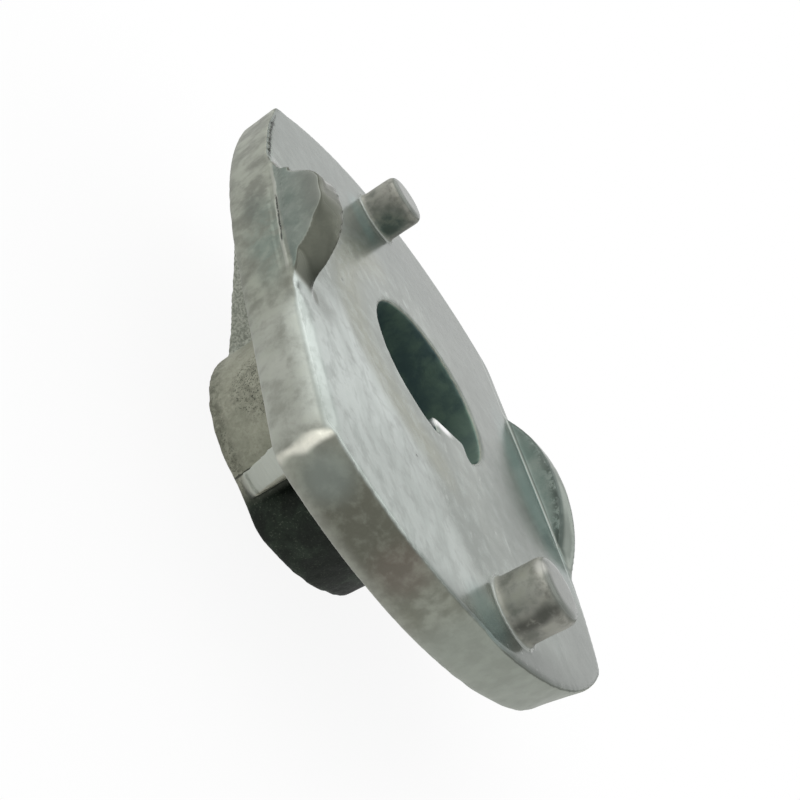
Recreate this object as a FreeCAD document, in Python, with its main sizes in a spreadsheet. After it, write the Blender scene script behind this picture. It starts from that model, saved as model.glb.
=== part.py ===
"""Mower blade adapter: one light-alloy casting that seats a blade on the end of an engine shaft.

A flat disc carries the blade. Two pins and two arched lugs stand on its face and hold the blade
from turning. Behind the disc a keyed hub slides over the shaft, with four ribs out to the corners.
The hub's end stands on Z = 0, the bore runs up Z, and the two pins lie on the X axis.
"""
import FreeCAD, Part
import math
import os
import Sketcher
from FreeCAD import Placement, Rotation, Vector

SIZES = (
    ("bore_dia", 22.3, "bore for the engine shaft"),
    ("key_width", 7.2, "cast key in the bore, across its sides"),
    ("key_depth", 3.45, "cast key, from the bore wall inwards"),
    ("seat_height", 21.5, "from the hub's end to the face that carries the blade"),
    ("disc_thick", 5.9, "disc, front to back"),
    ("side_span", 59.6, "disc across its two straight sides"),
    ("right_end_radius", 42.7, "round end on +X"),
    ("right_margin", 6.6, "from the pin's centre to the tip of that end"),
    ("right_end_y", 1.2, "that end's centre, along Y"),
    ("left_end_radius", 39.4, "round end on -X"),
    ("left_margin", 6.3, "from the pin's centre to the tip of that end"),
    ("left_end_y", -1.2, "that end's centre, along Y"),
    ("right_turn", 9.0, "where the +Y side starts to bow in towards +X"),
    ("right_bow", 52.0, "radius of that bow"),
    ("left_turn", 2.0, "where the -Y side starts to bow in towards -X"),
    ("left_bow", 68.0, "radius of that bow"),
    ("corner_round", 3.5, "three of the disc's upright corners"),
    ("sharp_round", 1.0, "the fourth corner, at the end of the -Y bow"),
    ("front_round", 0.5, "front rim of the disc and outer rim of the lugs"),
    ("back_round", 0.5, "back rim of the disc"),
    ("tall_thick", 2.9, "tall lug, from the straight side to its flat inner wall"),
    ("long_thick", 2.2, "long lug, from the straight side to its flat inner wall"),
    ("tall_height", 5.9, "short tall lug, above the face"),
    ("tall_radius", 8.3, "arch of the tall lug"),
    ("tall_shift", -1.95, "tall lug along X"),
    ("tall_lean", 15.0, "fall of the tall lug's arch towards its outer wall, in degrees"),
    ("long_height", 3.85, "long low lug, above the face"),
    ("long_radius", 26.0, "arch of the long lug"),
    ("long_shift", 2.6, "long lug along X"),
    ("foot_round", 3.0, "hollow where an arch runs out into the face"),
    ("soft_foot_round", 5.5, "the same at the tall lug's foot on -X"),
    ("pin_pitch", 63.4, "between the two pins"),
    ("pin_dia", 7.4, "pin"),
    ("pin_height", 5.6, "pin, above the face"),
    ("pin_round", 1.1, "edge of a pin's top"),
    ("pin_foot", 0.3, "hollow round a pin's foot"),
    ("hub_dia", 31.3, "hub across its slim sides"),
    ("cheek_dia", 35.4, "hub across its thick cheeks, which back the key"),
    ("cheek_lead", 17.0, "turn from a rib to where a cheek has its full width, in degrees"),
    ("cheek_round", 4.0, "corner where a cheek comes to its full width"),
    ("rib_angle", 40.0, "first rib, in degrees from the line of pins"),
    ("rib_thick", 2.5, "rib, side to side"),
    ("rib_margin", 1.65, "rib's outer end, in from the disc's side and from its nearest corner"),
    ("rib_toe", 0.7, "rib's low end, above the hub's end"),
)
SIZE = {name: value for name, value, note in SIZES}
RIB_COUNT = 4

doc = FreeCAD.newDocument("blade_adapter")
sheet = doc.addObject("Spreadsheet::Sheet", "Sizes")
for row, (name, value, note) in enumerate(SIZES, start=1):
    sheet.set("A%d" % row, name)
    sheet.set("B%d" % row, str(value))
    sheet.setAlias("B%d" % row, name)
    sheet.set("C%d" % row, note)
doc.recompute()

body = doc.addObject("PartDesign::Body", "adapter")
body.Label = "adapter"


def origin_part(role):
    """The body's own plane or axis of that role."""
    for feature in body.Origin.OriginFeatures:
        if feature.Role == role:
            return feature
    raise ValueError(role)


def new_sketch(name, plane, lift=None, turn=None):
    """A sketch on one of the body's planes, moved along its normal or turned about the bore."""
    sketch = body.newObject("Sketcher::SketchObject", name)
    sketch.AttachmentSupport = [(origin_part(plane), "")]
    sketch.MapMode = "FlatFace"
    if turn is not None:
        sketch.AttachmentOffset = Placement(Vector(0, 0, 0), Rotation(Vector(0, 1, 0), turn))
    if lift is not None:
        sketch.setExpression("AttachmentOffset.Base.z", lift)
    doc.recompute()
    return sketch


def drive(sketch, name, constraint, expression):
    """Adds a measured constraint and ties it to the sheet."""
    index = sketch.addConstraint(constraint)
    sketch.renameConstraint(index, name)
    sketch.setExpression("Constraints." + name, expression)


def place_point(sketch, name, curve, end, across, up):
    """Ties one end of a curve to a place given by two expressions from the sketch's origin."""
    spot = sketch.getPoint(curve, end)
    for label, kind, expression, value in (
        (name + "_x", "DistanceX", across, spot.x),
        (name + "_y", "DistanceY", up, spot.y),
    ):
        drive(sketch, label, Sketcher.Constraint(kind, -1, 1, curve, end, value), expression)


def join(sketch, pairs):
    """Makes curve ends meet, each pair written as curve, end, curve, end."""
    for first, first_end, second, second_end in pairs:
        sketch.addConstraint(Sketcher.Constraint("Coincident", first, first_end, second, second_end))


def arc(centre, radius, start, end):
    """A counter-clockwise arc from one angle to another, in degrees."""
    circle = Part.Circle(centre, Vector(0, 0, 1), radius)
    return Part.ArcOfCircle(circle, math.radians(start), math.radians(end))


def line(start, end):
    return Part.LineSegment(Vector(*start, 0), Vector(*end, 0))


def add(kind, name, sketch, **settings):
    """A pad or pocket on a sketch, with its settings given as values or as sheet expressions."""
    feature = body.newObject("PartDesign::" + kind, name)
    feature.Profile = sketch
    for key, setting in settings.items():
        if isinstance(setting, str) and setting != "ThroughAll":
            feature.setExpression(key, setting)
        else:
            setattr(feature, key, setting)
    sketch.Visibility = False
    doc.recompute()
    return feature


def turn_copies(name, feature, count):
    """Repeats a feature about the bore axis."""
    pattern = body.newObject("PartDesign::PolarPattern", name)
    pattern.Originals = [feature]
    pattern.Axis = (origin_part("Z_Axis"), [""])
    pattern.Angle = 360
    pattern.Occurrences = count
    body.Tip = pattern
    doc.recompute()
    return pattern


def dress(kind, name, edge_test, key, expression):
    """Rounds or bevels the tip's edges that pass a test."""
    base = body.Tip
    edges = ["Edge%d" % (i + 1) for i, edge in enumerate(base.Shape.Edges) if edge_test(edge)]
    feature = body.newObject("PartDesign::" + kind, name)
    feature.Base = (base, edges)
    feature.setExpression(key, expression)
    doc.recompute()
    return feature


def middle(edge):
    """The point halfway along an edge."""
    return edge.valueAt((edge.FirstParameter + edge.LastParameter) / 2)


def from_axis(point):
    return math.hypot(point.x, point.y)


def upright(edge):
    """True for a straight edge that runs along Z."""
    ends = [vertex.Point for vertex in edge.Vertexes]
    straight = isinstance(edge.Curve, Part.Line)
    return straight and len(ends) == 2 and from_axis(ends[0] - ends[1]) < 0.001


# The disc's outline: two round ends, and two straight sides that each bow in towards one of the ends.
SEAT = "Sizes.seat_height"
BACK = "Sizes.seat_height - Sizes.disc_thick"
END_X = {
    "right": "Sizes.pin_pitch / 2 + Sizes.right_margin - Sizes.right_end_radius",
    "left": "Sizes.left_end_radius - Sizes.left_margin - Sizes.pin_pitch / 2",
}
half_span = SIZE["side_span"] / 2
half_pitch = SIZE["pin_pitch"] / 2
ends = {
    "right": (half_pitch + SIZE["right_margin"] - SIZE["right_end_radius"], SIZE["right_end_y"]),
    "left": (SIZE["left_end_radius"] - SIZE["left_margin"] - half_pitch, SIZE["left_end_y"]),
}
bows = {
    "right": (SIZE["right_turn"], half_span - SIZE["right_bow"]),
    "left": (-SIZE["left_turn"], SIZE["left_bow"] - half_span),
}


def flat_point(name, side):
    """The point of a round end where it meets the straight side at Y = side * half_span."""
    across, up = ends[name]
    run = math.sqrt(SIZE[name + "_end_radius"] ** 2 - (side * half_span - up) ** 2)
    return (across - side * run, side * half_span)


def arc_through(centre, start, end):
    """A counter-clockwise arc about a centre, from one point to another."""
    radius = math.hypot(start[0] - centre[0], start[1] - centre[1])
    angles = [math.degrees(math.atan2(spot[1] - centre[1], spot[0] - centre[0])) for spot in (start, end)]
    return arc(Vector(*centre, 0), radius, angles[0], angles[1] if angles[1] > angles[0] else angles[1] + 360)


def crossing(name):
    """The point where a round end meets its bow."""
    end_spot = Vector(*ends[name], 0)
    bow_spot = Vector(*bows[name], 0)
    between = bow_spot - end_spot
    end_radius = SIZE[name + "_end_radius"]
    along = (end_radius ** 2 - SIZE[name + "_bow"] ** 2 + between.Length ** 2) / (2 * between.Length)
    aside = math.sqrt(end_radius ** 2 - along ** 2)
    towards = between.normalize()
    spot = end_spot + towards * along + Vector(-towards.y, towards.x, 0) * aside
    return (spot.x, spot.y)


right_corner = crossing("right")
left_corner = crossing("left")
right_turn = (SIZE["right_turn"], half_span)
left_turn = (-SIZE["left_turn"], -half_span)
disc_sketch = new_sketch("disc_outline", "XY_Plane", lift=BACK)
disc_sketch.addGeometry([
    arc_through(ends["right"], flat_point("right", -1), right_corner),
    arc_through(bows["right"], right_corner, right_turn),
    line(right_turn, flat_point("left", 1)),
    arc_through(ends["left"], flat_point("left", 1), left_corner),
    arc_through(bows["left"], left_corner, left_turn),
    line(left_turn, flat_point("right", -1)),
])
join(disc_sketch, [(0, 2, 1, 1), (2, 2, 3, 1), (3, 2, 4, 1), (5, 2, 0, 1)])
for bow, side in ((1, 2), (4, 5)):
    disc_sketch.addConstraint(Sketcher.Constraint("Tangent", bow, 2, side, 1))
    disc_sketch.addConstraint(Sketcher.Constraint("Horizontal", side))
for curve, name in ((0, "right"), (3, "left")):
    place_point(disc_sketch, name + "_centre", curve, 3, END_X[name], "Sizes.%s_end_y" % name)
    drive(disc_sketch, name + "_radius", Sketcher.Constraint("Radius", curve, SIZE[name + "_end_radius"]),
          "Sizes.%s_end_radius" % name)
    drive(disc_sketch, name + "_bow", Sketcher.Constraint("Radius", curve + 1, SIZE[name + "_bow"]),
          "Sizes.%s_bow" % name)
place_point(disc_sketch, "right_turn", 2, 1, "Sizes.right_turn", "Sizes.side_span / 2")
place_point(disc_sketch, "left_turn", 5, 1, "-Sizes.left_turn", "-Sizes.side_span / 2")
add("Pad", "blank", disc_sketch, Length="Sizes.disc_thick + 2 * Sizes.tall_height")


def upright_at(*spots):
    """A test for the upright edges that pass through some flat points."""
    def test(edge):
        place = middle(edge)
        return upright(edge) and any(math.hypot(place.x - x, place.y - y) < 0.01 for x, y in spots)
    return test


dress("Fillet", "corners", upright_at(right_corner, flat_point("right", -1), flat_point("left", 1)),
      "Radius", "Sizes.corner_round")
dress("Fillet", "sharp_corner", upright_at(left_corner), "Radius", "Sizes.sharp_round")

# The hub: round and slim between two ribs, with a thick cheek on each X side to back the key.
hub_radius = SIZE["hub_dia"] / 2
cheek_radius = SIZE["cheek_dia"] / 2
rib_angle = SIZE["rib_angle"]
rib_step = 360 / RIB_COUNT


def polar(radius, angle):
    """The flat point at one distance and one angle about the bore, in degrees."""
    return (radius * math.cos(math.radians(angle)), radius * math.sin(math.radians(angle)))


def opposite(spot):
    return (-spot[0], -spot[1])


# One cheek's four points, as a radius and an angle: from the rib before it round to the rib after it.
cheek_marks = (
    ("before", "Sizes.hub_dia / 2", "Sizes.rib_angle - %d" % rib_step),
    ("rise", "Sizes.cheek_dia / 2", "Sizes.rib_angle - %d + Sizes.cheek_lead" % rib_step),
    ("fall", "Sizes.cheek_dia / 2", "Sizes.rib_angle - Sizes.cheek_lead"),
    ("after", "Sizes.hub_dia / 2", "Sizes.rib_angle"),
)
before = polar(hub_radius, rib_angle - rib_step)
rise = polar(cheek_radius, rib_angle - rib_step + SIZE["cheek_lead"])
fall = polar(cheek_radius, rib_angle - SIZE["cheek_lead"])
after = polar(hub_radius, rib_angle)
hub_sketch = new_sketch("hub_outline", "XY_Plane")
hub_sketch.addGeometry([
    line(before, rise),
    arc_through((0, 0), rise, fall),
    line(fall, after),
    arc_through((0, 0), after, opposite(before)),
    line(opposite(before), opposite(rise)),
    arc_through((0, 0), opposite(rise), opposite(fall)),
    line(opposite(fall), opposite(after)),
    arc_through((0, 0), opposite(after), before),
])
join(hub_sketch, [(curve, 2, (curve + 1) % 8, 1) for curve in range(8)])
for curve, (name, radius, angle) in enumerate(cheek_marks):
    place_point(hub_sketch, name, curve, 1, "%s * cos(%s)" % (radius, angle), "%s * sin(%s)" % (radius, angle))
    hub_sketch.addConstraint(Sketcher.Constraint("Symmetric", curve, 1, curve + 4, 1, -1, 1))
drive(hub_sketch, "cheek_radius", Sketcher.Constraint("Radius", 1, cheek_radius), "Sizes.cheek_dia / 2")
drive(hub_sketch, "hub_radius", Sketcher.Constraint("Radius", 3, hub_radius), "Sizes.hub_dia / 2")
hub_sketch.addConstraint(Sketcher.Constraint("Equal", 1, 5))
hub_sketch.addConstraint(Sketcher.Constraint("Equal", 3, 7))
add("Pad", "hub", hub_sketch, Length=BACK)
dress("Fillet", "cheek_corners", upright_at(rise, fall, opposite(rise), opposite(fall)),
      "Radius", "Sizes.cheek_round")

# The ribs: four sloping gussets from the hub's end out to the corners of the disc.
rib_sketch = new_sketch("rib_outline", "XZ_Plane", turn=rib_angle)
rib_sketch.setExpression("AttachmentOffset.Rotation.Angle", "Sizes.rib_angle")
rib_inner = (SIZE["bore_dia"] + SIZE["hub_dia"]) / 4
rib_top = SIZE["seat_height"] - SIZE["disc_thick"] / 2
back = SIZE["seat_height"] - SIZE["disc_thick"]
near_corner = flat_point("left", 1)
NEAR_CORNER_X = "%s - sqrt(Sizes.left_end_radius^2 - (Sizes.side_span / 2 - Sizes.left_end_y)^2)" % END_X["left"]
TO_SIDE = "(Sizes.side_span / 2 - Sizes.rib_margin) / cos(Sizes.rib_angle)"
TO_CORNER = "sqrt((Sizes.side_span / 2)^2 + (%s)^2) - Sizes.rib_margin" % NEAR_CORNER_X
rib_end = min((half_span - SIZE["rib_margin"]) / math.cos(math.radians(rib_angle)),
              math.hypot(*near_corner) - SIZE["rib_margin"])
rib_points = [
    (rib_inner, rib_top),
    (rib_end, rib_top),
    (rib_end, back),
    (SIZE["hub_dia"] / 2, SIZE["rib_toe"]),
    (rib_inner, SIZE["rib_toe"]),
]
rib_sketch.addGeometry([line(a, b) for a, b in zip(rib_points, rib_points[1:] + rib_points[:1])])
join(rib_sketch, [(0, 2, 1, 1), (1, 2, 2, 1), (2, 2, 3, 1), (3, 2, 4, 1), (4, 2, 0, 1)])
for curve, kind in ((0, "Horizontal"), (1, "Vertical"), (3, "Horizontal"), (4, "Vertical")):
    rib_sketch.addConstraint(Sketcher.Constraint(kind, curve))
place_point(rib_sketch, "inner", 0, 1, "(Sizes.bore_dia + Sizes.hub_dia) / 4",
            "Sizes.seat_height - Sizes.disc_thick / 2")
place_point(rib_sketch, "outer", 2, 1, "min(%s; %s)" % (TO_SIDE, TO_CORNER), BACK)
place_point(rib_sketch, "toe", 3, 1, "Sizes.hub_dia / 2", "Sizes.rib_toe")
rib = add("Pad", "rib", rib_sketch, Length="Sizes.rib_thick", Midplane=True)
turn_copies("ribs", rib, RIB_COUNT)

# The bore: a round hole that leaves the cast key standing on its +X side.
bore_radius = SIZE["bore_dia"] / 2
half_key = SIZE["key_width"] / 2
key_edge = bore_radius - SIZE["key_depth"]
key_root = math.sqrt(bore_radius ** 2 - half_key ** 2)
key_angle = math.degrees(math.asin(half_key / bore_radius))
bore_sketch = new_sketch("bore_outline", "XY_Plane")
bore_sketch.addGeometry([
    arc(Vector(0, 0, 0), bore_radius, key_angle, 360 - key_angle),
    line((key_root, -half_key), (key_edge, -half_key)),
    line((key_edge, -half_key), (key_edge, half_key)),
    line((key_edge, half_key), (key_root, half_key)),
])
join(bore_sketch, [(0, 3, -1, 1), (0, 2, 1, 1), (1, 2, 2, 1), (2, 2, 3, 1), (3, 2, 0, 1)])
for curve in (1, 3):
    bore_sketch.addConstraint(Sketcher.Constraint("Horizontal", curve))
bore_sketch.addConstraint(Sketcher.Constraint("Symmetric", 2, 1, 2, 2, -1))
drive(bore_sketch, "radius", Sketcher.Constraint("Radius", 0, bore_radius), "Sizes.bore_dia / 2")
drive(bore_sketch, "key_width", Sketcher.Constraint("DistanceY", 2, 1, 2, 2, 2 * half_key), "Sizes.key_width")
drive(bore_sketch, "key_edge", Sketcher.Constraint("DistanceX", -1, 1, 2, 1, key_edge),
      "Sizes.bore_dia / 2 - Sizes.key_depth")
add("Pocket", "bore", bore_sketch, Type="ThroughAll", Reversed=True)


# The lugs: what is left of the blank under two arches, with a straight channel between them.
wide = SIZE["side_span"]
top = SIZE["seat_height"] + 3 * SIZE["tall_height"]


def cut_over(name, side):
    """Cuts the blank down to one lug's arch and to the face. side is 1 for the half on +Y, -1 for -Y."""
    seat = SIZE["seat_height"]
    radius = SIZE[name + "_radius"]
    shift = SIZE[name + "_shift"]
    level = seat + SIZE[name + "_height"] - radius
    dip = math.degrees(math.asin((seat - level) / radius))
    run = radius * math.cos(math.radians(dip))
    sketch = new_sketch(name + "_lug_outline", "XZ_Plane")
    sketch.addGeometry([
        arc(Vector(shift, level, 0), radius, dip, 180 - dip),
        line((shift - run, seat), (-wide, seat)),
        line((-wide, seat), (-wide, top)),
        line((-wide, top), (wide, top)),
        line((wide, top), (wide, seat)),
        line((wide, seat), (shift + run, seat)),
    ])
    join(sketch, [(0, 2, 1, 1), (1, 2, 2, 1), (2, 2, 3, 1), (3, 2, 4, 1), (4, 2, 5, 1), (5, 2, 0, 1)])
    for curve, kind in ((1, "Horizontal"), (2, "Vertical"), (4, "Vertical"), (5, "Horizontal")):
        sketch.addConstraint(Sketcher.Constraint(kind, curve))
    place_point(sketch, "arch", 0, 3, "Sizes.%s_shift" % name,
                "Sizes.seat_height + Sizes.{0}_height - Sizes.{0}_radius".format(name))
    drive(sketch, "arch_radius", Sketcher.Constraint("Radius", 0, radius), "Sizes.%s_radius" % name)
    place_point(sketch, "low", 1, 2, "-Sizes.side_span", SEAT)
    place_point(sketch, "high", 4, 1, "Sizes.side_span", "Sizes.seat_height + 3 * Sizes.tall_height")
    sketch.addConstraint(Sketcher.Constraint("Horizontal", 3))
    add("Pocket", "over_%s_lug" % name, sketch, Type="ThroughAll", Reversed=side < 0)


cut_over("long", 1)
cut_over("tall", -1)

channel_sketch = new_sketch("channel_outline", "XY_Plane", lift=SEAT)
near_wall = SIZE["tall_thick"] - half_span
far_wall = half_span - SIZE["long_thick"]
channel_sketch.addGeometry([
    line((-wide, near_wall), (wide, near_wall)),
    line((wide, near_wall), (wide, far_wall)),
    line((wide, far_wall), (-wide, far_wall)),
    line((-wide, far_wall), (-wide, near_wall)),
])
join(channel_sketch, [(0, 2, 1, 1), (1, 2, 2, 1), (2, 2, 3, 1), (3, 2, 0, 1)])
for curve, kind in ((0, "Horizontal"), (1, "Vertical"), (2, "Horizontal"), (3, "Vertical")):
    channel_sketch.addConstraint(Sketcher.Constraint(kind, curve))
place_point(channel_sketch, "low", 0, 1, "-Sizes.side_span", "Sizes.tall_thick - Sizes.side_span / 2")
place_point(channel_sketch, "high", 2, 1, "Sizes.side_span", "Sizes.side_span / 2 - Sizes.long_thick")
add("Pocket", "channel", channel_sketch, Type="ThroughAll", Reversed=True)


# The tall lug's arch leans, so that it is lower along the outer wall than along the inner one.
def faces_where(test):
    """Names of the tip's faces that pass a test."""
    return ["Face%d" % (i + 1) for i, face in enumerate(body.Tip.Shape.Faces) if test(face)]


def tall_arch(face):
    return isinstance(face.Surface, Part.Cylinder) and abs(face.Surface.Radius - SIZE["tall_radius"]) < 0.001


def tall_inner_wall(face):
    return isinstance(face.Surface, Part.Plane) and abs(face.CenterOfMass.y - near_wall) < 0.001


upright_arch = body.Tip
arch_faces = faces_where(tall_arch)
wall_faces = faces_where(tall_inner_wall)
arch_lean = body.newObject("PartDesign::Draft", "arch_lean")
arch_lean.Base = (upright_arch, arch_faces)
arch_lean.NeutralPlane = (upright_arch, wall_faces)
arch_lean.Reversed = True
arch_lean.setExpression("Angle", "Sizes.tall_lean")
doc.recompute()


def on_wall(edge):
    """True for an edge of the upright wall round the disc and the lugs."""
    walls = [face for face in body.Tip.Shape.Faces
             if abs(face.BoundBox.ZMin - back) < 0.001 and face.BoundBox.ZMax > SIZE["seat_height"] - 0.001]
    return any(edge.isSame(other) for wall in walls for other in wall.Edges)


def at_lug_foot(edge):
    """True for the edges, from the wall to the channel, where an arch runs down into the face."""
    spot = middle(edge)
    level = edge.BoundBox.ZLength < 0.001 and abs(spot.z - SIZE["seat_height"]) < 0.001
    outside = spot.y < near_wall - 0.001 or spot.y > far_wall + 0.001
    return level and outside and not on_wall(edge)


def at_soft_foot(edge):
    """True for the tall lug's foot on -X."""
    spot = middle(edge)
    return at_lug_foot(edge) and spot.y < 0 and spot.x < SIZE["tall_shift"]


dress("Fillet", "soft_foot", at_soft_foot, "Radius", "Sizes.soft_foot_round")
dress("Fillet", "lug_feet", at_lug_foot, "Radius", "Sizes.foot_round")


# The rims: the front one runs on from the disc over the outer edge of each lug.
def on_front_rim(edge):
    return edge.BoundBox.ZMin > SIZE["seat_height"] - 0.001 and on_wall(edge)


def on_back_rim(edge):
    return edge.BoundBox.ZMax < back + 0.001 and on_wall(edge)


dress("Fillet", "front_rim", on_front_rim, "Radius", "Sizes.front_round")
dress("Fillet", "back_rim", on_back_rim, "Radius", "Sizes.back_round")

# The pins: two round pegs on the face, rounded at the top and hollowed at the foot.
pin_sketch = new_sketch("pin_outline", "XY_Plane", lift=SEAT)
pin_radius = SIZE["pin_dia"] / 2
pin_sketch.addGeometry(Part.Circle(Vector(half_pitch, 0, 0), Vector(0, 0, 1), pin_radius))
pin_sketch.addConstraint(Sketcher.Constraint("PointOnObject", 0, 3, -1))
drive(pin_sketch, "radius", Sketcher.Constraint("Radius", 0, pin_radius), "Sizes.pin_dia / 2")
drive(pin_sketch, "place", Sketcher.Constraint("DistanceX", -1, 1, 0, 3, half_pitch),
      "Sizes.pin_pitch / 2")
pin = add("Pad", "pin", pin_sketch, Length="Sizes.pin_height")
turn_copies("pins", pin, 2)


def round_edge_at(level):
    """A test for a full circle about a pin's axis at one level."""
    def test(edge):
        if not isinstance(edge.Curve, Part.Circle):
            return False
        centre = edge.Curve.Center
        return abs(from_axis(centre) - half_pitch) < 0.01 and abs(centre.z - level) < 0.01
    return test


dress("Fillet", "pin_tops", round_edge_at(SIZE["seat_height"] + SIZE["pin_height"]), "Radius", "Sizes.pin_round")
dress("Fillet", "pin_feet", round_edge_at(SIZE["seat_height"]), "Radius", "Sizes.pin_foot")

doc.recompute()
for feature in doc.Objects:
    if "Invalid" in feature.State or "Error" in feature.State:
        raise RuntimeError("%s failed: %s" % (feature.Label, feature.State))
shape = body.Shape
if shape.isNull() or not shape.isValid() or len(shape.Solids) != 1:
    raise RuntimeError("adapter has no single valid solid")
os.makedirs("parts", exist_ok=True)
shape.exportStep(os.path.join("parts", body.Label + ".step"))
box = shape.optimalBoundingBox()
print("adapter %.2f x %.2f x %.2f mm, %.0f mm3" % (box.XLength, box.YLength, box.ZLength, shape.Volume))
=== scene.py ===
import math

import bpy
from mathutils import Matrix, Vector, noise


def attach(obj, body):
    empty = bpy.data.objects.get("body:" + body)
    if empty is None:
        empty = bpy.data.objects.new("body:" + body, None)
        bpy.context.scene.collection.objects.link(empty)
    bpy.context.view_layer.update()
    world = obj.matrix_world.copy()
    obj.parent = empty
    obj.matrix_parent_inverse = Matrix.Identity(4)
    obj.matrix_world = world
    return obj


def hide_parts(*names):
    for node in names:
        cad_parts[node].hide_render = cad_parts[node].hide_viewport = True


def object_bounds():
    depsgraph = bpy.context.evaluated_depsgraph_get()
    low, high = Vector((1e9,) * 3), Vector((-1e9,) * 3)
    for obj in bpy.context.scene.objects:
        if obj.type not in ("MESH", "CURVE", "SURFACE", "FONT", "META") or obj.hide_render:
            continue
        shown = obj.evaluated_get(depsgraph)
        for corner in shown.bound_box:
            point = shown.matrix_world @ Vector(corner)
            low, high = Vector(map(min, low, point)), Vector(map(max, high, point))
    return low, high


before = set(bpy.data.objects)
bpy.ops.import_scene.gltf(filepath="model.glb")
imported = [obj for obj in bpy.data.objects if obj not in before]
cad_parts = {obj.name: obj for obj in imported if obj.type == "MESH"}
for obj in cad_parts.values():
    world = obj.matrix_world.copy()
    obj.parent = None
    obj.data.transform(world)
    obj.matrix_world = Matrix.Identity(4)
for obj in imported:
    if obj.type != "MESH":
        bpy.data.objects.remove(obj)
cad_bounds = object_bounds()

# The camera looks along the face from low down, past the tall lug's side and one end of the disc, and is
# rolled well over to its left, so that the part seems to lean out of the picture.
camera = bpy.data.objects.new("camera", bpy.data.cameras.new("camera"))
bpy.context.scene.collection.objects.link(camera)
camera.data.lens = 42.75
camera.data.sensor_width = 36.0
camera.data.clip_start = 0.005
picture_right = Vector((0.2286, 0.51302, 0.82738))
picture_up = Vector((-0.73104, -0.4708, 0.4939))
towards_camera = Vector((0.64291, -0.71775, 0.26741))
camera.matrix_world = Matrix.Translation((0.07385, -0.08238, 0.04756)) @ Matrix((
    picture_right, picture_up, towards_camera)).transposed().to_4x4()
bpy.context.scene.camera = camera

# The adapter is one casting in a pale light alloy: disc, pins, lugs, keyed hub and ribs in one piece.
# A copy of its solid is divided finely and evenly, so that it can take the uneven skin of a real one.
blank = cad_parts["adapter"]
bpy.ops.object.select_all(action="DESELECT")
casting = bpy.data.objects.new("adapter_casting", blank.data.copy())
bpy.context.scene.collection.objects.link(casting)
bpy.context.view_layer.objects.active = casting
casting.select_set(True)
bpy.ops.object.mode_set(mode="EDIT")
bpy.ops.mesh.select_all(action="SELECT")
bpy.ops.mesh.remove_doubles(threshold=0.000005)
bpy.ops.object.mode_set(mode="OBJECT")
even = casting.modifiers.new("even", "REMESH")
even.mode = "VOXEL"
even.voxel_size = 0.0004
bpy.ops.object.modifier_apply(modifier=even.name)
hug = casting.modifiers.new("hug", "SHRINKWRAP")
hug.target = blank
hug.wrap_method = "NEAREST_SURFACEPOINT"
bpy.ops.object.modifier_apply(modifier=hug.name)
soften = casting.modifiers.new("soften", "SMOOTH")
soften.factor = 0.5
soften.iterations = 3
bpy.ops.object.modifier_apply(modifier=soften.name)

# heights and places on the solid, in millimetres; an arch is given by its top, its radius and its middle
FACE = 21.5
BACK = 15.6
PIN_X = 31.7
TALL_ARCH = (27.4, 8.3, -1.95)
LONG_ARCH = (25.35, 26, 2.6)
LONG_ARCH_INSIDE = (24.9, 22, 0.6)
ACROSS_RIB = (0.766, 0.643)
PARTING_HEIGHT = 21.4
PARTING_RISE = 0.35
PARTING_FALL = 0.55


def ease(value, low, high):
    """A smooth rise from 0 to 1 as the value goes from low to high."""
    part = min(max((value - low) / (high - low), 0.0), 1.0)
    return part * part * (3 - 2 * part)


def linear(value, low, high):
    """The same with a straight rise."""
    return min(max((value - low) / (high - low), 0.0), 1.0)


def arch(x, top, radius, shift):
    """Height of a lug's arch above a place along the disc, in millimetres."""
    return top - radius + math.sqrt(max(radius ** 2 - (x - shift) ** 2, 0.0))


def parting(x):
    """Height of the line where the two halves of the die met, round the side of the tall lug."""
    return PARTING_HEIGHT + PARTING_RISE * linear(x, -15, -8) - PARTING_FALL * linear(x, -8, 1)


def by_parting(x, y):
    """Whether a place is on the side wall round the sharp end and the tall lug."""
    return -27 < x < 6 and y < -23 and math.hypot(x, y) > 29


# the outline of the tall lug's left side: place along the disc, height
LUG_FOOT = ((-15.2, 21.5), (-13.7, 21.72), (-12, 22.1), (-10.9, 22.4), (-10.05, 22.75), (-9.3, 23.7),
            (-8.75, 24.5), (-8.05, 25.25), (-7.6, 25.7), (-6.75, 26.4), (-5.75, 26.9), (-4.6, 27.25), (-3, 27.4))
LUG_BASE = 18.5


def foot_height(x):
    """Height of the tall lug's left side, with the hollow foot that leads up to it."""
    for (left, low), (right, high) in zip(LUG_FOOT, LUG_FOOT[1:]):
        if x <= right:
            return low + (high - low) * (x - left) / (right - left)
    return LUG_FOOT[-1][1]


def deselect_mesh():
    bpy.ops.object.mode_set(mode="EDIT")
    bpy.ops.mesh.select_all(action="DESELECT")
    bpy.ops.object.mode_set(mode="OBJECT")


def smooth_chosen(repeat):
    """Evens out the chosen vertices."""
    bpy.ops.object.mode_set(mode="EDIT")
    bpy.ops.mesh.vertices_smooth(factor=0.5, repeat=repeat)
    bpy.ops.object.mode_set(mode="OBJECT")


# the line of flash left by the die needs finer faces than the rest of the skin
deselect_mesh()
for polygon in casting.data.polygons:
    x, y, z = polygon.center * 1000
    polygon.select = by_parting(x, y) and abs(z - parting(x) + 0.3) < 0.9 and polygon.normal.z < 0.9
bpy.ops.object.mode_set(mode="EDIT")
bpy.ops.mesh.subdivide(number_cuts=2)
bpy.ops.object.mode_set(mode="OBJECT")

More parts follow.
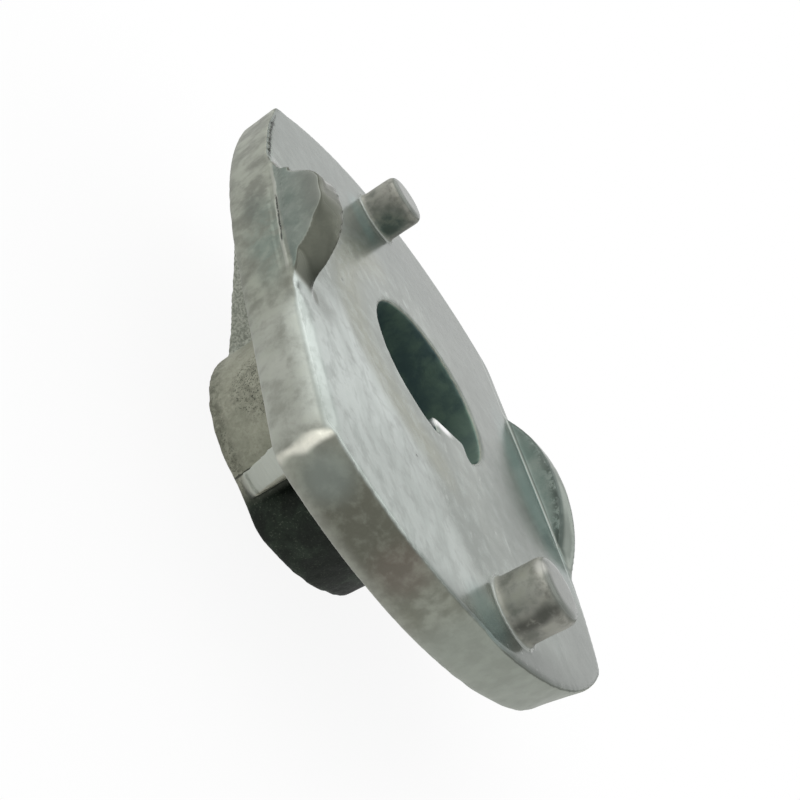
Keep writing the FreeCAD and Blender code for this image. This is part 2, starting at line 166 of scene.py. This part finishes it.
low_corner, high_corner = [Vector(corner) * 1000 for corner in cad_bounds]
turned = [vertex.normal.copy() for vertex in casting.data.vertices]
for vertex, facing in zip(casting.data.vertices, turned):
    spot = vertex.co * 1000
    x, y, z = spot
    from_axis = math.hypot(x, y)
    # the tall lug stands a little fuller on its left side, and a hollow foot leads up to it from the rim
    if y < -25.9 and LUG_FOOT[0][0] < x < LUG_FOOT[-1][0] and z > LUG_BASE:
        old_top = max(arch(x, *TALL_ARCH), FACE)
        crest = 0.4 * ease(-y, 28.2, 29.2) * ease(x, -10.2, -9.4) * ease(-x, 3, 5)
        new_top = max(foot_height(x), old_top) + crest
        if z < old_top:
            raised = LUG_BASE + (z - LUG_BASE) * (new_top - LUG_BASE) / (old_top - LUG_BASE)
        else:
            raised = max(z, new_top)
        spot.z += (raised - z) * ease(-y, 25.9, 27.1)
        z = spot.z
    move = Vector((0, 0, 0))
    # its outer edge is worn back and rounded on the right
    if y < -27 and z > FACE and x > -3:
        top, radius, middle = TALL_ARCH
        from_middle = Vector((x - middle, 0, z - top + radius))
        worn = ease(-y, 27.2, 29.9) * ease(x, -2, 1.5) * ease(z, FACE + 0.4, FACE + 2.2)
        move -= from_middle.normalized() * 1.15 * worn * ease(from_middle.length, 4.5, 7.5)
    # the top of the long lug falls away towards its inner edge
    if y > 27.2 and z > FACE:
        outer = arch(x, *LONG_ARCH)
        drop = min(max(outer - arch(x, *LONG_ARCH_INSIDE), 0.0), max(outer - FACE - 0.1, 0.0))
        move.z -= drop * (1 - ease(y, 27.6, 29.3)) * linear(z, FACE, max(outer, FACE + 0.05))
    # the disc's end draws in towards the back beside one corner
    if x > 20 and BACK - 0.6 < z < FACE:
        inward = -Vector((x, y, 0)).normalized()
        move += inward * 0.75 * ease(from_axis, 32, 37) * ease(y, 7, 16) * linear(FACE - z, 0, FACE - BACK)
    # the hub's cheek stands fuller under the side that faces the end of the disc
    if x > 8 and z < BACK and from_axis < 20:
        outward = Vector((x, y, 0)).normalized()
        move += outward * (0.35 + 0.4 * z / BACK) * ease(from_axis, 12.5, 16.5) * ease(x, 9, 14)
    # the sharp end of the disc runs out into a point
    tip = math.hypot(x + 28.9, y + 24.2)
    if tip < 5 and z > BACK:
        move += Vector((-0.93, 0.37, 0)) * 1.25 * (1 - linear(tip, 0.3, 5)) * ease(z, BACK + 1, FACE - 1)
    # the rib beside the cheek is thicker on its lower side
    across = ACROSS_RIB[0] * x + ACROSS_RIB[1] * y
    outwards = ACROSS_RIB[1] * x - ACROSS_RIB[0] * y
    if 0.9 < across < 3.2 and outwards > 15.5 and 1 < z < BACK:
        move += Vector((*ACROSS_RIB, 0)) * 0.4 * ease(across, 0.9, 1.2) * (1 - ease(across, 1.6, 3.2))
    # the skin of the casting is never quite flat
    sideways = 1 - abs(facing.z)
    depth = 0.16 if z < BACK else 0.02 + 0.07 * sideways
    swell = noise.noise(spot * 0.28) + 0.5 * noise.noise(spot * 0.7 + Vector((9, 3, 1)))
    move -= facing * depth * (0.5 + 0.5 * swell)
    if z < BACK - 0.3:
        pitted = noise.noise(spot * 1.3) + 0.5 * noise.noise(spot * 2.9)
        move -= facing * 0.07 * ease(pitted, 0.1, 0.8)
    # flash and crack along the parting line
    offset = abs(z - parting(x))
    if by_parting(x, y) and offset < 0.8:
        ends = ease(x, -27, -24) * (1 - ease(x, 3.5, 5.5))
        along = -facing * ends * linear(sideways, 0.03, 0.25)
        move += along * 0.1 * ease(offset, 0.0, 0.2) * ease(x, -13, -10)
        slit = ease(x, -6.2, -5) * (1 - ease(x, 0, 1.6)) + (1 - ease(x, -17, -14))
        move += along * 0.3 * slit * (1 - ease(offset, 0.03, 0.16))
    moved = spot + move
    vertex.co = Vector([min(max(moved[i], low_corner[i]), high_corner[i]) for i in range(3)]) / 1000

# the rim is well rounded beside the tall lug and on round the near corner
deselect_mesh()
for vertex, facing in zip(casting.data.vertices, turned):
    x, y, z = vertex.co * 1000
    by_lug = 8.5 < x < 25 and y < -27.9 and z > 19.7
    by_corner = x > 24 and y < -8 and z > 20.5 and facing.z < 0.95 and math.hypot(x - PIN_X, y) > 6
    vertex.select = by_lug or by_corner
smooth_chosen(50)
# and a little at the hub's end and at the disc's back rim
for vertex in casting.data.vertices:
    x, y, z = vertex.co * 1000
    from_axis = math.hypot(x, y)
    vertex.select = z < 1.2 and from_axis > 14 or BACK - 0.4 < z < BACK + 0.9 and from_axis > 26
smooth_chosen(6)
bpy.ops.object.shade_smooth()


# The finish is satin grey metal, mottled and stained: paler on the face, and sandy on one side of the hub.
# Shade and light are painted in as well: painted shade darkens the bore and makes the other side of the hub
# nearly black, and painted highlights and reflections are laid on as colour. All of it comes from noise and
# from soft patches placed in the casting's own coordinates, in millimetres.
class Socket:
    """A node socket whose sums and products add the maths nodes that work them out."""

    def __init__(self, material, socket):
        self.material = material
        self.socket = socket

    def maths(self, operation, *values):
        return self.material.node("ShaderNodeMath", {"operation": operation}, values)

    def __add__(self, other):
        return self.maths("ADD", self, other)

    def __sub__(self, other):
        return self.maths("SUBTRACT", self, other)

    def __rsub__(self, other):
        return self.maths("SUBTRACT", other, self)

    def __mul__(self, other):
        return self.maths("MULTIPLY", self, other)

    def __abs__(self):
        return self.maths("ABSOLUTE", self)

    __radd__ = __add__
    __rmul__ = __mul__


class Finish:
    """A material, or a world, whose nodes are added from the pattern to the skin."""

    def __init__(self, made, skin="Principled BSDF"):
        self.made = made
        self.made.use_nodes = True
        self.nodes = self.made.node_tree.nodes
        self.skin = self.nodes[skin]

    def node(self, kind, settings=None, values=(), output=0):
        """Adds a node, sets it up and feeds its inputs, by place or by name."""
        node = self.nodes.new(kind)
        for key, setting in (settings or {}).items():
            setattr(node, key, setting)
        named = values.items() if isinstance(values, dict) else enumerate(values)
        for key, value in named:
            self.feed(node.inputs[key], value)
        return Socket(self, node.outputs[output])

    def feed(self, entry, value):
        """Links a socket to an input, or sets the input to a plain value."""
        if isinstance(value, Socket):
            self.made.node_tree.links.new(value.socket, entry)
        else:
            entry.default_value = value

    def vector(self, operation, *values, output=0):
        return self.node("ShaderNodeVectorMath", {"operation": operation}, values, output)

    def axes(self, place):
        return [self.node("ShaderNodeSeparateXYZ", values=[place], output=index) for index in range(3)]

    def point(self, across, along, up):
        return self.node("ShaderNodeCombineXYZ", {}, [across, along, up])

    def length(self, reach):
        return self.vector("LENGTH", reach, output="Value")

    def ray(self, kind):
        return self.node("ShaderNodeLightPath", output="Is %s Ray" % kind)

    def noise(self, place, scale, detail=4, rough=0.5, twist=0.0):
        return self.node("ShaderNodeTexNoise", {}, {
            "Vector": place, "Scale": scale, "Detail": detail, "Roughness": rough, "Distortion": twist})

    def step(self, value, low, high, start=0.0, end=1.0):
        """A smooth rise from start to end as the value goes from low to high."""
        return self.node("ShaderNodeMapRange", {"interpolation_type": "SMOOTHSTEP"}, {
            "Value": value, "From Min": low, "From Max": high, "To Min": start, "To Max": end})

    def slope(self, value, low, high, start=0.0, end=1.0):
        """The same with straight runs."""
        return self.node("ShaderNodeMapRange", {}, {
            "Value": value, "From Min": low, "From Max": high, "To Min": start, "To Max": end})

    def mix(self, factor, first, second):
        return self.node("ShaderNodeMix", {"data_type": "RGBA"}, {0: factor, 6: first, 7: second}, output=2)

    def patch(self, place, middle, reach, stretch=(1, 1, 1)):
        """A soft patch, 1 at its middle and 0 at its reach, drawn out along the axes by stretch."""
        away = self.length(self.vector("DIVIDE", self.vector("SUBTRACT", place, middle), stretch))
        return self.step(away, 0.25 * reach, reach, 1.0, 0.0)


cast = Finish(bpy.data.materials.new("cast_light_alloy"))
place = cast.vector("MULTIPLY", cast.node("ShaderNodeTexCoord", output="Object"), (1000, 1000, 1000))
x, y, z = cast.axes(place)
_, facing_y, facing_z = cast.axes(cast.node("ShaderNodeTexCoord", output="Normal"))
upward = cast.step(facing_z, 0.5, 0.85)
radius = cast.length(cast.vector("MULTIPLY", place, (1, 1, 0)))

drawn = cast.node("ShaderNodeMapping", {}, {
    "Vector": place, "Rotation": (0, 0, math.radians(48)), "Scale": (0.5, 1, 1)})
streaks = cast.noise(drawn, 0.2, 5, 0.52, 0.7)
blotches = cast.noise(drawn, 0.55, 4, 0.6, 0.2)
cloud = cast.noise(place, 0.3, 6, 0.62, 0.2)
fine = cast.noise(place, 1.1, 5, 0.65)
grain = cast.noise(place, 3.2, 3, 0.6)
specks = cast.noise(place, 4.0, 3, 0.7)

# upright outer wall of the disc: warm grey, darker and browner towards the disc's end
wall = cast.mix(cast.step(cloud, 0.36, 0.64), (0.185, 0.195, 0.16, 1), (0.285, 0.30, 0.25, 1))
wall = cast.mix(cast.step(fine, 0.5, 0.68) * 0.25, wall, (0.38, 0.40, 0.34, 1))
wall = cast.mix(cast.step(x, 6, 13) * cast.step(x, 27, 24) * 0.8, wall, cast.mix(
    cast.step(cloud, 0.3, 0.7), (0.34, 0.355, 0.31, 1), (0.42, 0.435, 0.39, 1)))
wall = cast.mix(0.6 * cast.step(x, 24, 28) * cast.step(cloud, 0.6, 0.35), wall, (0.22, 0.225, 0.175, 1))
wall = cast.mix(cast.patch(place, (30.5, -23, 20), 11) * 0.9, wall, (0.095, 0.095, 0.07, 1))
wall = cast.mix(cast.patch(place, (33.4, -18.6, 19.4), 4) * 0.5, wall, (0.16, 0.12, 0.1, 1))
# painted highlight: a paler band along the wall's back edge towards the disc's end
wall = cast.mix(cast.step(z, 17.4, 15.9) * cast.step(x, 22, 26) * 0.5, wall, (0.40, 0.41, 0.36, 1))
ragged = cast.step(cloud, 0.4, 0.56, 0.2, 1.0)
foot_stain = cast.patch(place, (-1, -29.8, 19.6), 9.5, (1, 1, 0.34)) * ragged
wall = cast.mix(foot_stain * 0.9, wall, (0.155, 0.2, 0.17, 1))
wall = cast.mix(cast.patch(place, (-6.6, -29.7, 18.8), 3.6, (1, 1, 0.6)) * 0.7, wall, (0.1, 0.115, 0.095, 1))
pale_rim = cast.step(z, 18.6, 21.2) * cast.step(x, 7, 11) * cast.step(x, 25, 22)
wall = cast.mix(pale_rim, wall, (0.42, 0.45, 0.41, 1))
bend = cast.node("ShaderNodeTexNoise", {}, {"Vector": place, "Scale": 0.5, "Detail": 0.5}, output="Color")
bend = cast.vector("MULTIPLY", cast.vector("SUBTRACT", bend, (0.5, 0.5, 0.5)), (1.5, 1.5, 0))
streak_bend = cast.vector("ADD", place, bend)
# a painted highlight on the near corner, laid on as colour
wall = cast.mix(cast.patch(streak_bend, (25.2, -29.1, 18.9), 2.4, (0.42, 0.42, 1.9)), wall, (0.98, 0.97, 0.85, 1))

# the seat: a satin pale grey with soft streaks, beige round the bore and cooler towards the near side
face = cast.mix(cast.step(streaks, 0.34, 0.66), (0.168, 0.195, 0.168, 1), (0.24, 0.268, 0.236, 1))
near_side = cast.step(y - 0.35 * x, -14.5, -20.5) * cast.step(x, -1, 7) * cast.step(x, 17, 26, 1.0, 0.65)
face = cast.mix(near_side * cast.step(streaks, 0.3, 0.56, 0.55, 1.0), face, (0.52, 0.57, 0.54, 1))
face = cast.mix(cast.step(blotches, 0.52, 0.66) * 0.4, face, (0.20, 0.23, 0.205, 1))
face = cast.mix(cast.step(blotches, 0.4, 0.3) * 0.35, face, (0.55, 0.60, 0.56, 1))
round_bore = cast.point(y.maths("ARCTAN2", y, x) * 4, radius, 0.0)
rubbed = cast.noise(round_bore, 0.9, 5, 0.65, 0.3)
worn_ring = cast.step(abs(radius - 17.4), 4.6, 0.5) * cast.step(y, -2, -7)
face = cast.mix(worn_ring * cast.step(rubbed, 0.3, 0.5, 0.4, 0.9), face, (0.225, 0.24, 0.175, 1))
face = cast.mix(worn_ring * cast.step(rubbed, 0.54, 0.7) * 0.6, face, (0.11, 0.115, 0.08, 1))
mottles = cast.noise(place, 0.55, 5, 0.6)
face = cast.mix(cast.step(mottles, 0.45, 0.68) * 0.35, face, (0.42, 0.475, 0.44, 1))
face = cast.mix(cast.step(mottles, 0.52, 0.32) * 0.35, face, (0.18, 0.205, 0.18, 1))
dark_end = cast.step(x, 31.5, 36.5) * 0.8 + cast.patch(place, (30.5, 21.5, FACE), 9) * 0.6
face = cast.mix(dark_end, face, (0.09, 0.105, 0.09, 1))
face = cast.mix(cast.step(fine, 0.62, 0.72) * cast.step(x, 33, 36) * 0.6, face, (0.6, 0.62, 0.58, 1))
scratch = cast.patch(place, (-20.2, -8.4, FACE), 1.1, (1, 0.75, 1))
scratch = scratch * cast.step(abs(0.55 * x - 0.83 * y + 4.1), 0.2, 0.06)
face = cast.mix(scratch * 0.8, face, (0.06, 0.075, 0.06, 1))
for middle, reach in (((-2.8, -18.3, FACE), 0.3), ((9.3, -29.4, 21.4), 0.35), ((18.6, -12.5, FACE), 0.25)):
    face = cast.mix(cast.patch(place, middle, reach), face, (0.04, 0.05, 0.04, 1))
foot_shade = cast.patch(place, (6.5, -26.1, FACE), 1.7, (1, 0.42, 1)) * 0.6
foot_shade = foot_shade + cast.patch(place, (6.6, -25, FACE), 3) * 0.5
face = cast.mix(foot_shade, face, (0.1, 0.115, 0.09, 1))
# painted reflection: the face is coloured darker towards the sharp end, standing in for a darker reflection there
face = cast.mix(cast.step(x, -12, -26) * 0.7, face, (0.14, 0.165, 0.145, 1))
face = cast.mix(cast.step(y, 2, 14) * 0.55, face, (0.13, 0.15, 0.13, 1))
# painted reflections of the pins and of the long lug: a cooler teal tone beside each pin and under the long lug
for middle, reach, stretch, strength in (
        ((34.4, -7.0, FACE), 5.0, (0.85, 1, 1), 0.75),
        ((-26.5, -5.5, FACE), 5.2, (1.2, 0.7, 1), 0.8),
        ((5, 25, FACE), 7.5, (2.6, 0.9, 1), 0.8)):
    face = cast.mix(cast.patch(place, middle, reach, stretch) * strength, face, (0.21, 0.30, 0.28, 1))

# smaller stains over all the upright walls
stained = cast.noise(place, 0.6, 4, 0.6, 0.2)
wall = cast.mix(cast.step(stained, 0.4, 0.72) * 0.3, wall, (0.4, 0.43, 0.35, 1))
wall = cast.mix(cast.step(stained, 0.56, 0.3) * 0.35, wall, (0.15, 0.155, 0.12, 1))
wall = cast.mix(cast.patch(place, (27.6, -27.2, 19), 3.5) * 0.55, wall, (0.24, 0.28, 0.255, 1))
wall = cast.mix(cast.step(x, 34.5, 37) * cast.step(y, -16, -10) * 0.6, wall, (0.33, 0.365, 0.32, 1))

# sides and tops of the lugs and pins
above = cast.step(z, 21.55, 21.95)
near_lug = cast.step(y, -26.0, -26.5)
far_lug = cast.step(y, 26.6, 27.2)
pin_wall = cast.mix(cast.step(cloud, 0.35, 0.65), (0.2, 0.205, 0.175, 1), (0.32, 0.32, 0.285, 1))
for middle, reach, stretch, strength, colour in (
        ((31.8, -3.8, 24.4), 2.6, (0.7, 0.7, 1.4), 0.6, (0.42, 0.42, 0.38, 1)),
        ((-28.0, -0.4, 23.2), 3.2, (1, 1, 1.2), 0.85, (0.045, 0.085, 0.07, 1)),
        ((30.6, -3.6, 25.6), 2.4, (1, 1, 1), 0.6, (0.40, 0.40, 0.35, 1)),
        ((-30.4, -3.5, 25.2), 2.4, (1, 1, 1), 0.5, (0.36, 0.35, 0.31, 1))):
    pin_wall = cast.mix(cast.patch(place, middle, reach, stretch) * strength, pin_wall, colour)
pin_wall = cast.mix(cast.step(stained, 0.42, 0.68) * 0.35, pin_wall, (0.36, 0.365, 0.29, 1))
pin_wall = cast.mix(cast.step(stained, 0.54, 0.34) * 0.35, pin_wall, (0.1, 0.115, 0.09, 1))
dark_top = cast.step(z, 25.2, 26.1) * cast.step(fine, 0.48, 0.66)
pin_wall = cast.mix(dark_top * 0.35, pin_wall, (0.07, 0.065, 0.05, 1))
dark_side = cast.patch(streak_bend, (34.6, -2.3, 24.3), 2.8, (0.5, 0.5, 2.0)) * cast.step(fine, 0.3, 0.5, 0.5, 1.0)
pin_wall = cast.mix(dark_side * 0.8, pin_wall, (0.05, 0.052, 0.042, 1))
pin = cast.mix(cast.step(z, 26.4, 26.95), pin_wall, (0.15, 0.165, 0.145, 1))
# painted highlight on the top rim of the pin at +x
pin = cast.mix(cast.patch(place, (30.3, -3.1, 26.6), 1.7, (0.8, 0.8, 0.6)) * 0.7, pin, (0.5, 0.5, 0.46, 1))
near_side_lug = cast.mix(cast.step(cloud, 0.35, 0.65), (0.125, 0.16, 0.135, 1), (0.2, 0.23, 0.2, 1))
near_side_lug = cast.mix(cast.step(fine, 0.5, 0.68) * 0.45, near_side_lug, (0.27, 0.31, 0.265, 1))
near_side_lug = cast.mix(cast.step(z, 23, 26.5) * 0.7, near_side_lug, (0.16, 0.165, 0.142, 1))
band = cast.step(facing_y, -0.93, -0.8)
# painted shade: the tall lug's top band is coloured nearly black at its foot
lug_band = cast.mix(cast.patch(place, (5.6, -26.4, 21.8), 3.4), (0.1, 0.107, 0.083, 1), (0.036, 0.042, 0.03, 1))
lug_band = cast.mix(cast.step(cloud, 0.45, 0.65) * 0.5, lug_band, (0.15, 0.158, 0.122, 1))
# painted highlight: a paler strip along the lug's rounded outer ridge
lug_band = cast.mix(cast.step(facing_y, -0.78, -0.88) * cast.step(z, 21.8, 23), lug_band, (0.30, 0.32, 0.28, 1))
tall_lug = cast.mix(band, near_side_lug, lug_band)
long_band = cast.step(y, 27.75, 28.15)
long_edge = cast.step(facing_y, -0.985, -0.93) * cast.step(facing_y, -0.2, -0.4) * cast.step(y, 28.4, 28.0)
long_lug = cast.mix(cast.step(cloud, 0.35, 0.65), (0.21, 0.27, 0.24, 1), (0.30, 0.345, 0.31, 1))
long_lug = cast.mix(long_band, long_lug, (0.25, 0.28, 0.25, 1))
top, arch_radius, middle = LONG_ARCH_INSIDE
below_arch = arch_radius - cast.length(cast.point(x - middle, 0.0, z - (top - arch_radius)))
# a dark line along the inner edge of the long lug's arch
dark_inner_edge = cast.step(abs(below_arch), 1.7, 0.2) * cast.step(y, 28.0, 27.8) * cast.step(fine, 0.4, 0.54)
long_lug = cast.mix(dark_inner_edge * cast.step(x, -8, 3, 0.25, 0.9), long_lug, (0.085, 0.105, 0.09, 1))
dark_spots = cast.step(x, 8, 13) * cast.step(fine, 0.48, 0.6) * (1 - long_band)
long_lug = cast.mix(dark_spots * 0.8, long_lug, (0.08, 0.1, 0.085, 1))
long_lug = cast.mix(long_edge * 0.9, long_lug, (0.09, 0.115, 0.1, 1))

outer = cast.mix(upward, wall, face)
outer = cast.mix(above, outer, pin)
outer = cast.mix(above * near_lug, outer, tall_lug)
outer = cast.mix(above * far_lug, outer, long_lug)

# painted highlights: the bright line at the foot of the long lug, and the bright rings at the feet of the pins,
# laid on as colour where the fillets catch the light
long_lug_foot_highlight = cast.step(abs(y - 27.5), 0.25, 0.06) * cast.step(abs(z - 21.6), 0.25, 0.08) * 0.7
outer = cast.mix(long_lug_foot_highlight, outer, (0.46, 0.50, 0.47, 1))
pin_radius = cast.length(cast.point(abs(x) - PIN_X, y, 0.0))
pin_foot_highlight = cast.step(abs(pin_radius - 3.95), 0.3, 0.08) * cast.step(abs(z - 21.6), 0.25, 0.08)
outer = cast.mix(pin_foot_highlight * 0.6, outer, (0.42, 0.44, 0.41, 1))

# behind the disc: hub and ribs, sand-coloured and pitted on one side; the other side is painted shade, nearly
# black
behind = cast.step(z, 15.7, 15.4)
hub = cast.mix(cast.step(cloud, 0.3, 0.7), (0.31, 0.32, 0.25, 1), (0.47, 0.475, 0.385, 1))
hub = cast.mix(cast.step(grain, 0.45, 0.7) * 0.3, hub, (0.22, 0.22, 0.17, 1))
cluster = cast.patch(place, (0.5, -15.7, 7), 6.5, (1, 1, 0.8)) + 0.6 * cast.step(z, 3.0, 0.8)
pits = cast.step(specks + 0.1 * fine, 0.67, 0.6, 1.0, 0.0) * cluster
hub = cast.mix(cast.step(stained, 0.5, 0.64) * 0.5, hub, (0.24, 0.245, 0.19, 1))
hub = cast.mix(cast.step(pits, 0.15, 0.6) * 0.9, hub, (0.05, 0.055, 0.04, 1))
hub = cast.mix(cast.step(z, 2.8, 0.9) * cast.step(fine, 0.4, 0.6, 0.25, 0.75), hub, (0.15, 0.155, 0.115, 1))
hub = cast.mix(cluster * cast.step(fine, 0.45, 0.65) * 0.45, hub, (0.14, 0.14, 0.105, 1))
far_rib = cast.step(x, -8, -11) * cast.step(y, -3, -6)
speckled = cast.mix(cast.step(grain, 0.36, 0.64), (0.56, 0.58, 0.51, 1), (0.3, 0.32, 0.27, 1))
hub = cast.mix(far_rib, hub, speckled)
# painted shade: the hub and ribs on the +x side are coloured nearly black, with paler specks
shaded = cast.step(x, 9.5, 12.5) * cast.step(y, -14.5, -12)
hub_painted_shade = cast.mix(cast.step(cloud, 0.4, 0.62), (0.001, 0.005, 0.001, 1), (0.018, 0.03, 0.018, 1))
pale_specks = cast.step(specks, 0.56, 0.66) * cast.step(cloud, 0.45, 0.6, 0.3, 1.0)
hub_painted_shade = cast.mix(pale_specks, hub_painted_shade, (0.085, 0.10, 0.075, 1))
hub = cast.mix(shaded, hub, hub_painted_shade)
across_rib = ACROSS_RIB[0] * x + ACROSS_RIB[1] * y
along_rib = ACROSS_RIB[1] * x - ACROSS_RIB[0] * y
rib = cast.step(abs(across_rib), 1.5, 1.3) * cast.step(along_rib, 16.0, 16.8) * cast.step(z, 1.5, 4.5)
hub = cast.mix(rib, hub, (0.48, 0.51, 0.45, 1))
# painted shade: a dark line in the corner along the rib's upper side
rib_corner_shade = cast.step(abs(across_rib + 1.35 + 0.5 * (fine - 0.5)), 0.22, 0.06) * cast.step(y, -11, -12.5)
hub = cast.mix(rib_corner_shade * 0.85, hub, (0.03, 0.035, 0.025, 1))
alloy = cast.mix(behind, outer, hub)

# inside the bore: a cool dark grey, darkened with painted shade and nearly black on the +x side, with a painted
# highlight on the end of the key laid on as colour
bore = cast.step(radius, 12.4, 12.1) * cast.step(facing_z, 0.6, 0.3) * cast.step(z, 21.6, 21.5)
# the bore wall's own cool tone, darkened as painted shade
bore_wall = cast.mix(cast.step(cloud, 0.35, 0.65), (0.07, 0.12, 0.118, 1), (0.14, 0.215, 0.17, 1))
bore_wall = cast.mix(cast.step(x, -4, 6) * cast.step(x, 9.5, 7.5) * 0.6, bore_wall, (0.27, 0.37, 0.31, 1))
# painted shade: the +x side of the bore is coloured nearly black
bore_wall = cast.mix(cast.step(x, 7.2, 8.6) * 0.9, bore_wall, (0.02, 0.055, 0.05, 1))
alloy = cast.mix(bore, alloy, bore_wall)
# painted highlight on the end of the key
alloy = cast.mix(cast.patch(place, (8.6, -1.8, 21.4), 2.4, (0.5, 1.15, 1)), alloy, (1.0, 1.0, 0.99, 1))
# painted shade: a small dark spot on the key's side
alloy = cast.mix(cast.patch(place, (7.4, -4.1, 21.3), 0.9, (0.7, 1, 1)), alloy, (0.03, 0.045, 0.04, 1))

# the parting line: a fine crack along the sharp end and over the middle of the tall lug
parting_line = PARTING_HEIGHT + cast.slope(x, -15, -8, 0, PARTING_RISE) - cast.slope(x, -8, 1, 0, PARTING_FALL)
off_line = abs(z - parting_line + 0.25 * (fine - 0.5))
side = (1 - upward) * cast.step(y, -23, -24) * cast.step(x, -28, -26) * cast.step(radius, 28.5, 29.2)
crack = cast.step(x, -13, -15) + cast.step(x, -6.4, -5.6) * cast.step(x, 1.4, 0.4)
crack = crack * side * cast.step(off_line, 0.13, 0.05) * cast.step(grain, 0.36, 0.46)
flash = side * cast.step(off_line, 0.26, 0.1) * cast.step(x, -12, -10) * cast.step(x, 5.5, 4.5)
rim_gap = y + 29.8 - (x + 1) * (x + 1) * (1 / 136)
sharp_rim = cast.step(abs(rim_gap - 0.3 + 0.6 * (fine - 0.5)), 0.15, 0.04)
sharp_rim = sharp_rim * cast.step(x, -14, -15.5) * cast.step(z, 21.0, 21.2)
crack = crack + sharp_rim * cast.step(x, -28.6, -28) * cast.step(grain, 0.34, 0.44)
crack = crack + cast.patch(place, (-25.1, -25.3, 21.5), 0.8, (1.3, 0.6, 1)) * 0.8
rim_line = cast.step(abs(z - 21.25 + 0.3 * (fine - 0.5)), 0.13, 0.04) * cast.step(x, 36.3, 36.9)
crack = crack + 0.7 * rim_line * (1 - upward) * cast.step(y, -7, -5) * cast.step(y, 16, 12)
alloy = cast.mix(flash * 0.55, alloy, (0.42, 0.43, 0.38, 1))
alloy = cast.mix(crack * 0.92, alloy, (0.02, 0.025, 0.02, 1))

# worked into the skin: colour, an uneven shine and a fine relief
cast.feed(cast.skin.inputs["Base Color"], alloy)
roughness = 0.13 + 0.18 * fine + 0.27 * (1 - upward) + 0.15 * behind + 1.2 * upward * (1 - upward)
cast.feed(cast.skin.inputs["Roughness"], roughness)
cast.skin.inputs["Metallic"].default_value = 0.5
relief = 0.5 * cloud * (1 - upward) + (0.25 * fine + 0.06 * grain) * (1 - 0.6 * upward)
relief = relief + 0.3 * behind * specks - 0.6 * crack
cast.feed(cast.skin.inputs["Normal"], cast.node("ShaderNodeBump", {}, {
    "Strength": 0.5, "Distance": 0.0002, "Height": relief}))

casting.data.materials.clear()
casting.data.materials.append(cast.made)
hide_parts("adapter")
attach(casting, "root")

# The part stands on a plain pale floor. Away from it the floor runs into the white background.
bpy.ops.object.select_all(action="DESELECT")
bpy.ops.mesh.primitive_plane_add(size=6, location=(0, 0, 0))
floor = bpy.context.object
floor.name = "floor"
paper = Finish(bpy.data.materials.new("floor_paper"))
distance = paper.length(paper.node("ShaderNodeTexCoord", output="Object"))
seen = paper.ray("Camera") + paper.ray("Glossy") + paper.ray("Transmission")
paper.skin.inputs["Base Color"].default_value = (0.9, 0.9, 0.9, 1)
paper.skin.inputs["Roughness"].default_value = 0.9
paper.skin.inputs["Specular IOR Level"].default_value = 0.0
white = paper.node("ShaderNodeEmission", {}, {"Color": (1, 1, 1, 1), "Strength": 1.0})
surface = paper.node("ShaderNodeMixShader", {}, {
    0: paper.step(distance, 0.01, 0.1, 0.91, 1.0) * seen, 1: Socket(paper, paper.skin.outputs[0]), 2: white})
paper.feed(paper.nodes["Material Output"].inputs["Surface"], surface)
floor.data.materials.append(paper.made)

# Plain soft studio light: a wide softbox overhead and behind, and a weaker one to the left.
# The world is white to the eye and in reflections, and gives half as much light to the rest.
sky = Finish(bpy.data.worlds.new("studio"), "Background")
bpy.context.scene.world = sky.made
sky.skin.inputs["Color"].default_value = (1, 1, 1, 1)
seen_sky = sky.ray("Camera") + sky.ray("Glossy")
sky.feed(sky.skin.inputs["Strength"], sky.slope(seen_sky, 0, 1, 0.5, 1.0))


def softbox(name, spot, target, width, watts):
    """A square area lamp that faces a target."""
    lamp = bpy.data.objects.new(name, bpy.data.lights.new(name, "AREA"))
    bpy.context.scene.collection.objects.link(lamp)
    lamp.data.size = width
    lamp.data.energy = watts
    lamp.location = spot
    lamp.rotation_euler = (Vector(target) - Vector(spot)).to_track_quat("-Z", "Y").to_euler()


softbox("overhead_light", (-0.3, -0.1, 0.8), (0, 0, 0.02), 1.2, 3.2)
softbox("left_light", (-0.45, -0.35, 0.25), (0, 0, 0.02), 0.6, 1.0)

bpy.context.scene.view_settings.view_transform = "Standard"
